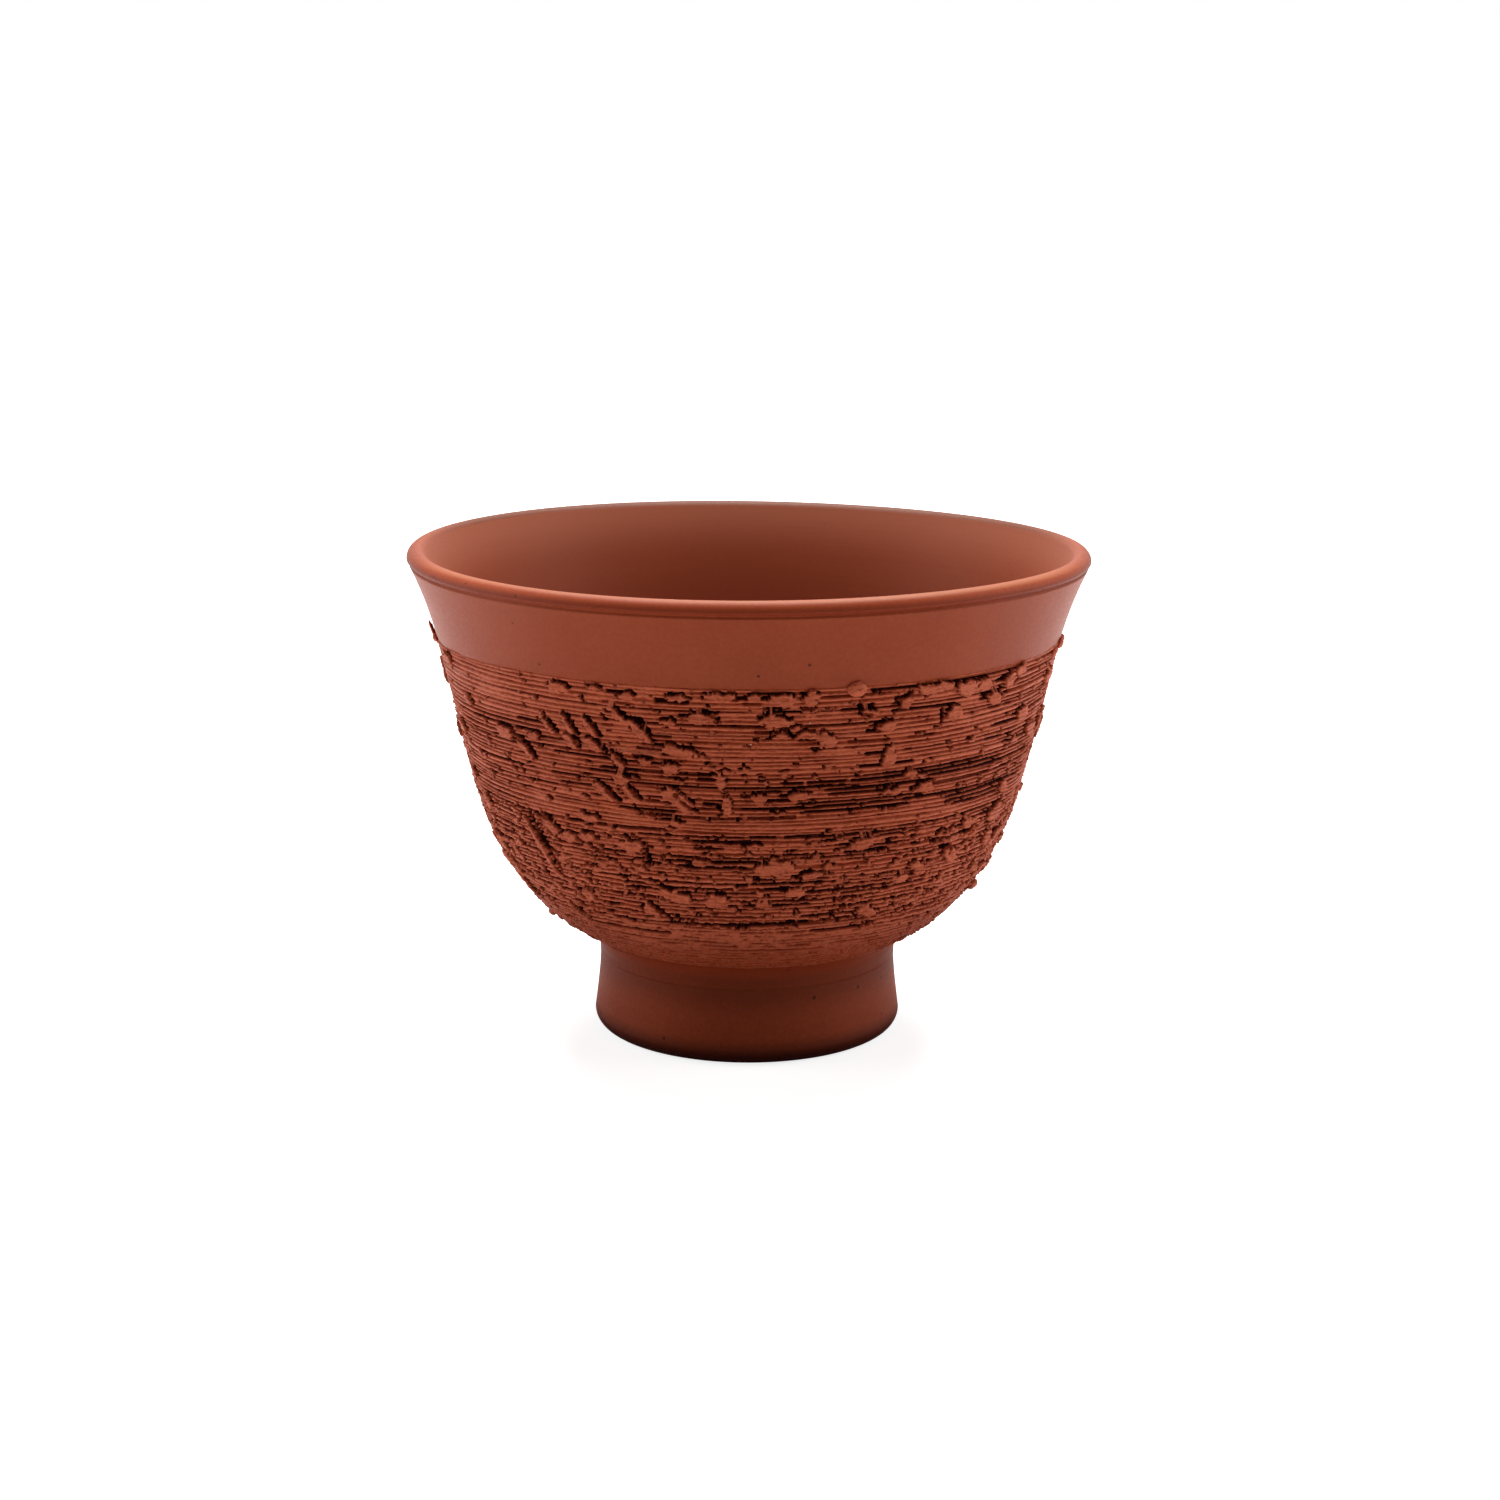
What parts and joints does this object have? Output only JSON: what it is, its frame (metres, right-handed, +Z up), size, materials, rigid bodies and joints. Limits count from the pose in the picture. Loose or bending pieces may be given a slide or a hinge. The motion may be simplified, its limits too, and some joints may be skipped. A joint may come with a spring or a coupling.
{
  "type": "tea cup",
  "caption": "Footed tea cup of unglazed red clay: a flaring bowl with a rolled lip and smooth collar, a combed and torn clay coat round its side, and a flared foot ring to stand on.",
  "frame": {"origin": "centre of the flat ring that the foot stands on", "axes": "+Z up along the axis that the cup was turned about; -Y towards the viewer of the picture, +X to the viewer's right"},
  "size_m": [0.0898, 0.0898, 0.0656],
  "materials": {
    "smooth_clay": "smooth burnished red clay, unglazed, satin",
    "combed_clay": "rough red clay, combed and torn while half dry, unglazed",
    "slip": "wiped red slip, unglazed",
    "foot_clay": "trimmed red clay, unglazed, satin"
  },
  "bodies": {
    "root": {"bowl": "smooth_clay", "combed_coat": "combed_clay", "slip_joint": "slip", "foot_ring": "foot_clay"}
  },
  "joints": []
}
